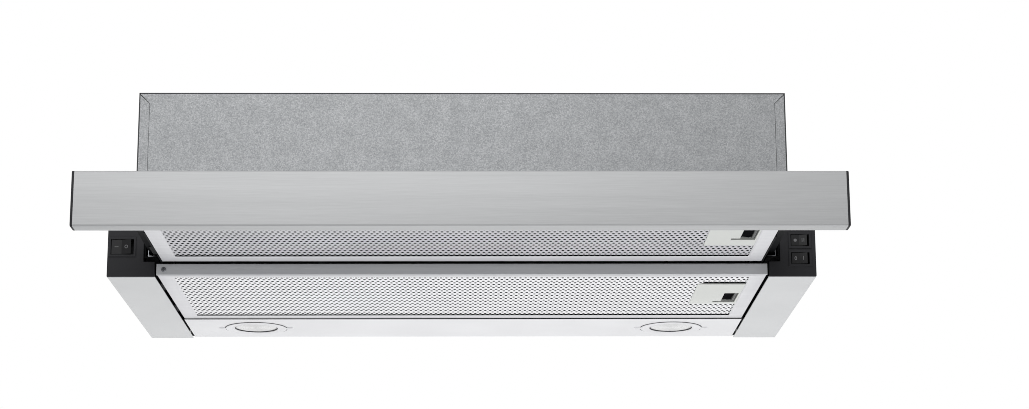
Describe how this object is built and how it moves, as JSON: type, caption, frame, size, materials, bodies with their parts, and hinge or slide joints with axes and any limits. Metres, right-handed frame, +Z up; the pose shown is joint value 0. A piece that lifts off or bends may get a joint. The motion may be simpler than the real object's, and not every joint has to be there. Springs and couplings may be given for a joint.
{
  "type": "under cabinet range hood",
  "caption": "Telescopic cooker hood with a slide-out canopy, grease filters, rocker switches, round lamps, blower and a duct collar with flaps.",
  "frame": {"origin": "centre of the cabinet screw holes, on the housing's top face", "axes": "+Z up through the housing's top, +Y to the wall behind, +X to the right of a person facing the hood"},
  "size_m": [0.598, 0.456, 0.199],
  "materials": {
    "galvanised_steel": "hot-dip galvanised sheet with a fine spangle",
    "painted_steel": "light grey satin powder coat",
    "dark_steel": "shadowed dark coated sheet",
    "light_panel_paint": "light silver satin paint",
    "anodised_rail": "satin anodised",
    "brushed_steel": "brushed along its length",
    "black_plastic": "fine moulded texture",
    "rocker_plastic": "semi-gloss",
    "lamp_ring_metal": "satin silver paint",
    "lamp_diffuser": "frosted diffuser",
    "heat_sink": "as cast",
    "filter_aluminium": "rolled satin aluminium",
    "mesh_aluminium": "perforated sheet",
    "latch_plastic": "light grey moulding",
    "spring_steel": "spring temper",
    "runner_steel": "zinc plated",
    "slide_steel": "galvanised sheet",
    "screw_steel": "zinc plated",
    "motor_steel": "pressed steel",
    "black_moulding": "moulded",
    "cable_sheath": "matt sheath",
    "capacitor_case": "smooth"
  },
  "bodies": {
    "hood": {"cable_gland": "black_moulding", "capacitor": "capacitor_case", "fan_switch_body": "black_plastic", "front_cross_rail": "anodised_rail", "front_deck": "galvanised_steel", "housing_screws": "screw_steel", "housing_side_left": "galvanised_steel", "housing_side_right": "galvanised_steel", "housing_wrap": "galvanised_steel", "inner_wall_left": "dark_steel", "inner_wall_right": "dark_steel", "lamp_lens_left": "lamp_diffuser", "lamp_lens_right": "lamp_diffuser", "lamp_ring_left": "lamp_ring_metal", "lamp_ring_right": "lamp_ring_metal", "led_module_left": "heat_sink", "led_module_right": "heat_sink", "light_panel": "light_panel_paint", "light_switch_body": "black_plastic", "motor": "motor_steel", "motor_bracket": "galvanised_steel", "outlet_collar": "black_moulding", "runner_outer_left": "runner_steel", "runner_outer_right": "runner_steel", "scroll_housing": "galvanised_steel", "side_arm_left": "painted_steel", "side_arm_right": "painted_steel", "speed_switch_body": "black_plastic", "switch_box_left": "black_plastic", "switch_box_right": "black_plastic", "terminal_box": "black_moulding", "wiring_loom": "cable_sheath"},
    "slide": {"slide_side_left": "slide_steel", "slide_side_right": "slide_steel", "slide_top_plate": "slide_steel", "slide_screws": "screw_steel", "fascia": "brushed_steel", "fascia_cap_left": "black_plastic", "fascia_cap_right": "black_plastic", "runner_inner_left": "runner_steel", "runner_inner_right": "runner_steel"},
    "cage_left": {"ball_cage_left": "runner_steel"},
    "cage_right": {"ball_cage_right": "runner_steel"},
    "light_rocker": {"light_rocker": "rocker_plastic"},
    "fan_rocker": {"fan_rocker": "rocker_plastic"},
    "speed_rocker": {"speed_rocker": "rocker_plastic"},
    "rear_filter": {"rear_filter_frame": "filter_aluminium", "rear_filter_mesh": "mesh_aluminium", "rear_latch_plate": "latch_plastic", "rear_latch_spring": "spring_steel"},
    "rear_latch": {"rear_latch": "latch_plastic"},
    "front_filter": {"front_filter_frame": "filter_aluminium", "front_filter_mesh": "mesh_aluminium", "front_latch_plate": "latch_plastic", "front_latch_spring": "spring_steel"},
    "front_latch": {"front_latch": "latch_plastic"},
    "fan_wheel": {"impeller": "black_moulding", "motor_shaft": "motor_steel"},
    "flap_left": {"flap_left": "black_moulding"},
    "flap_right": {"flap_right": "black_moulding"}
  },
  "joints": [
    {"name": "canopy_slide", "type": "slide", "parent": "hood", "child": "slide", "axis": [0, 1, 0], "range_m": [0, 0.162]},
    {"name": "cage_left_roll", "type": "slide", "parent": "hood", "child": "cage_left", "axis": [0, 1, 0], "range_m": [0, 0.081]},
    {"name": "cage_right_roll", "type": "slide", "parent": "hood", "child": "cage_right", "axis": [0, 1, 0], "range_m": [0, 0.081]},
    {"name": "light_rock", "type": "hinge", "parent": "hood", "child": "light_rocker", "pos_m": [-0.2866, -0.1475, -0.1435], "axis": [0, 0, 1], "range_deg": [0, 16]},
    {"name": "fan_rock", "type": "hinge", "parent": "hood", "child": "fan_rocker", "pos_m": [0.2856, -0.1475, -0.1381], "axis": [0, 0, 1], "range_deg": [0, 16]},
    {"name": "speed_rock", "type": "hinge", "parent": "hood", "child": "speed_rocker", "pos_m": [0.2856, -0.1475, -0.1537], "axis": [0, 0, 1], "range_deg": [0, 16]},
    {"name": "rear_filter_drop", "type": "hinge", "parent": "hood", "child": "rear_filter", "pos_m": [-0.2566, -0.057, -0.1674], "axis": [0, -1, 0], "range_deg": [-60, 0]},
    {"name": "rear_latch_slide", "type": "slide", "parent": "rear_filter", "child": "rear_latch", "axis": [-1, 0, 0], "range_m": [0, 0.005], "stiffness_N_per_m": 400, "springref_m": -0.004, "deforming": ["rear_latch_spring"]},
    {"name": "front_filter_drop", "type": "hinge", "parent": "slide", "child": "front_filter", "pos_m": [-0.2518, -0.234, -0.1568], "axis": [0, -1, 0], "range_deg": [-60, 0]},
    {"name": "front_latch_slide", "type": "slide", "parent": "front_filter", "child": "front_latch", "axis": [-1, 0, 0], "range_m": [0, 0.005], "stiffness_N_per_m": 400, "springref_m": -0.004, "deforming": ["front_latch_spring"]},
    {"name": "impeller_spin", "type": "hinge", "parent": "hood", "child": "fan_wheel", "pos_m": [0, 0.012, -0.071], "axis": [1, 0, 0], "continuous": true},
    {"name": "flap_left_swing", "type": "hinge", "parent": "hood", "child": "flap_left", "pos_m": [-0.005, 0.036, 0.009], "axis": [0, 1, 0], "range_deg": [0, 70]},
    {"name": "flap_right_swing", "type": "hinge", "parent": "hood", "child": "flap_right", "pos_m": [0.005, 0.036, 0.009], "axis": [0, -1, 0], "range_deg": [0, 70]}
  ],
  "couplings": [
    {"joint": "cage_left_roll", "follows": "canopy_slide", "ratio": 0.5},
    {"joint": "cage_right_roll", "follows": "canopy_slide", "ratio": 0.5}
  ]
}
